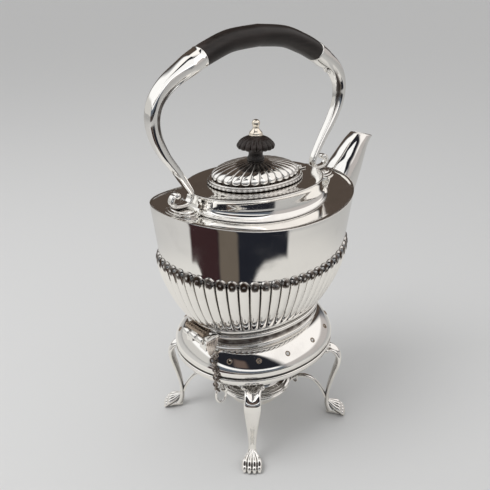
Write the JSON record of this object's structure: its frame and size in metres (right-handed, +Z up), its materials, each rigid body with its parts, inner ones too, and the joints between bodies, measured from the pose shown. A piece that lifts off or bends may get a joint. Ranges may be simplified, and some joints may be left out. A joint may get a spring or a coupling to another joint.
{
  "type": "kettle on stand",
  "caption": "Oval fluted silver kettle with a hinged lid and a fixed overhead handle, tipping on its own legged stand over a spirit burner.",
  "frame": {"origin": "on the ground, under the middle of the length and of the width", "axes": "+Z up, +X along the kettle towards its spout, +Y across to the far side in the picture"},
  "size_m": [0.2504, 0.14, 0.3548],
  "materials": {
    "silver": "polished silver plate, tarnished brown in the crevices",
    "aged_silver": "dull silver plate, worn and tarnished",
    "ebony": "satin black ebony",
    "cotton": "woven cotton wick"
  },
  "bodies": {
    "stand": {"apron": "silver", "apron_rim": "silver", "socket_ring": "silver", "leg_front_left": "silver", "leg_front_right": "silver", "leg_rear_left": "silver", "leg_rear_right": "silver", "bracket_front_left": "silver", "bracket_front_right": "silver", "bracket_rear_left": "silver", "bracket_rear_right": "silver", "burner_ring": "silver", "knuckles_front": "silver", "knuckles_rear": "silver", "chain_eyelet": "aged_silver", "chain_ring": "aged_silver"},
    "kettle": {"kettle_body": "silver", "foot_ring": "silver", "shoulder": "silver", "collar": "silver", "spout": "silver", "handle_rear": "silver", "handle_front": "silver", "handle_grip": "ebony", "rivet_rear": "silver", "rivet_front": "silver", "plinth_rear": "silver", "plinth_front": "silver", "lug_rear": "aged_silver", "lug_front": "aged_silver", "lid_hinge_seat": "silver", "lid_hinge_pin": "silver"},
    "lid": {"lid_dome": "silver", "lid_rim": "silver", "lid_hinge_leaf": "silver", "knob": "ebony", "finial": "silver", "lid_nut": "aged_silver"},
    "rear_pin": {"rear_pin": "silver", "pin_shell": "aged_silver", "pin_ring": "aged_silver", "chain": "aged_silver"},
    "front_pin": {"front_pin": "silver"},
    "burner": {"burner_bowl": "silver", "burner_drum": "silver", "wick_tube": "aged_silver", "wick": "cotton"}
  },
  "joints": [
    {"name": "kettle_tilt", "type": "hinge", "parent": "stand", "child": "kettle", "pos_m": [0.045, 0, 0.1124], "axis": [0, 1, 0], "range_deg": [0, 60]},
    {"name": "lid_hinge", "type": "hinge", "parent": "kettle", "child": "lid", "pos_m": [0.02274, 0, 0.2371], "axis": [0, 1, 0], "range_deg": [0, 75]},
    {"name": "rear_pin_slide", "type": "slide", "parent": "stand", "child": "rear_pin", "axis": [0, -1, 0], "range_m": [0, 0.03], "deforming": ["chain"]},
    {"name": "front_pin_slide", "type": "slide", "parent": "stand", "child": "front_pin", "axis": [0, 1, 0], "range_m": [0, 0.03]},
    {"name": "burner_lift", "type": "slide", "parent": "stand", "child": "burner", "axis": [0, 0, 1], "range_m": [0, 0.04]}
  ]
}
